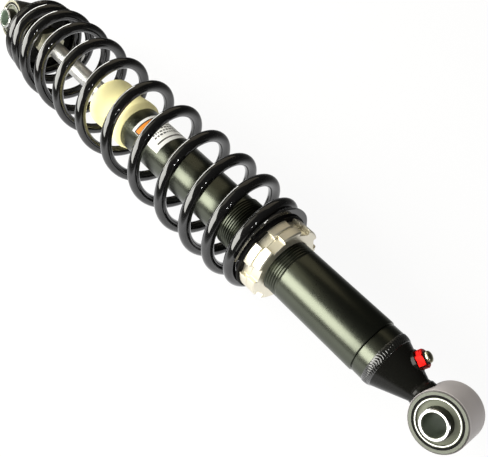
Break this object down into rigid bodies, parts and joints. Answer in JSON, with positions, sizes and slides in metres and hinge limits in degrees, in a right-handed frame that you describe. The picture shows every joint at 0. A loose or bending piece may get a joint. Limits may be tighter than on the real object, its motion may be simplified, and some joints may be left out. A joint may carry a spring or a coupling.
{
  "type": "coil-over gas shock absorber",
  "caption": "Coil-over gas shock absorber with a threaded body, slotted preload rings, a progressive coil spring and bushed eyes at both ends",
  "frame": {"origin": "centre of the lower eye bore", "axes": "+Z runs along the shock to the upper eye, Y is the lower eye axis, X completes the right-handed frame"},
  "size_m": [0.082, 0.082, 0.546],
  "materials": {
    "body_black": "satin black anodised",
    "spring_black": "gloss black powder coat",
    "eye_grey": "satin grey coat",
    "weld_steel": "black coated weld",
    "ring_metal": "bright machined",
    "guide_metal": "turned",
    "rod_chrome": "hard chrome",
    "sleeve_steel": "zinc plated",
    "inner_steel": "plain steel",
    "nut_steel": "yellow zinc plated",
    "valve_red": "red anodised",
    "valve_brass": "plain brass",
    "cap_metal": "turned",
    "bump_foam": "cream urethane",
    "bush_rubber": "matt rubber",
    "seal_rubber": "matt rubber",
    "liner_black": "matt black nylon",
    "band_plastic": "bronze filled plastic"
  },
  "bodies": {
    "damper_body": {"body_tube": "body_black", "end_collar": "body_black", "base_o_ring": "seal_rubber", "weld_bead": "weld_steel", "lower_cone": "body_black", "lower_eye_barrel": "eye_grey", "lower_bush_liner": "liner_black", "lower_bush_shell": "sleeve_steel", "lower_bush_rubber": "bush_rubber", "valve_body": "valve_red", "valve_cap": "cap_metal", "valve_cap_seal": "seal_rubber", "valve_core": "valve_brass", "rod_guide": "guide_metal", "guide_o_ring": "seal_rubber", "rod_seal": "seal_rubber", "rod_wiper": "seal_rubber", "guide_circlip": "inner_steel", "bump_stop": "bump_foam"},
    "lower_bolt_sleeve": {"lower_sleeve": "sleeve_steel"},
    "gas_piston": {"floating_piston": "guide_metal", "floating_piston_ring": "seal_rubber"},
    "seat_slider": {"upper_spring_seat": "body_black"},
    "rod_assembly": {"piston_rod": "rod_chrome", "piston": "inner_steel", "piston_band": "band_plastic", "compression_shims": "inner_steel", "rebound_shims": "inner_steel", "piston_nut": "inner_steel", "rebound_spacer": "liner_black", "jam_nut": "nut_steel", "upper_eye_barrel": "body_black", "upper_bush_liner": "liner_black", "upper_bush_shell": "sleeve_steel", "upper_bush_rubber": "bush_rubber"},
    "upper_bolt_sleeve": {"upper_sleeve": "sleeve_steel"},
    "preload_slider": {"spring_washer": "liner_black", "main_spring": "spring_black"},
    "preload_adjuster": {"adjuster_ring": "ring_metal"},
    "preload_lock": {"lock_ring": "ring_metal"}
  },
  "joints": [
    {"name": "compression", "type": "slide", "parent": "damper_body", "child": "seat_slider", "axis": [0, 0, -1], "range_m": [0, 0.1], "stiffness_N_per_m": 26000, "springref_m": -0.015, "deforming": ["main_spring"]},
    {"name": "rod_turn", "type": "hinge", "parent": "seat_slider", "child": "rod_assembly", "pos_m": [0, 0, 0.4755], "axis": [0, 0, 1], "continuous": true},
    {"name": "upper_eye_swing", "type": "hinge", "parent": "rod_assembly", "child": "upper_bolt_sleeve", "pos_m": [0, 0, 0.51], "axis": [0.1392, 0.9903, 0], "range_deg": [-20, 20], "stiffness_Nm_per_rad": 20},
    {"name": "lower_eye_swing", "type": "hinge", "parent": "damper_body", "child": "lower_bolt_sleeve", "pos_m": [0, 0, 0], "axis": [0, 1, 0], "range_deg": [-20, 20], "stiffness_Nm_per_rad": 20},
    {"name": "gas_piston_travel", "type": "slide", "parent": "damper_body", "child": "gas_piston", "axis": [0, 0, -1], "range_m": [0, 0.0222]},
    {"name": "preload_travel", "type": "slide", "parent": "damper_body", "child": "preload_slider", "axis": [0, 0, 1], "range_m": [-0.008, 0.02], "deforming": ["main_spring"]},
    {"name": "preload_turn", "type": "hinge", "parent": "preload_slider", "child": "preload_adjuster", "pos_m": [0, 0, 0.1495], "axis": [0, 0, 1], "range_deg": [-1445, 3605]},
    {"name": "lock_ring_turn", "type": "hinge", "parent": "preload_adjuster", "child": "preload_lock", "pos_m": [0, 0, 0.142], "axis": [0, 0, 1], "range_deg": [-90, 0]}
  ],
  "couplings": [
    {"joint": "gas_piston_travel", "follows": "compression", "ratio": 0.2197},
    {"joint": "preload_turn", "follows": "preload_travel", "rad_per_m": 3141.6}
  ]
}
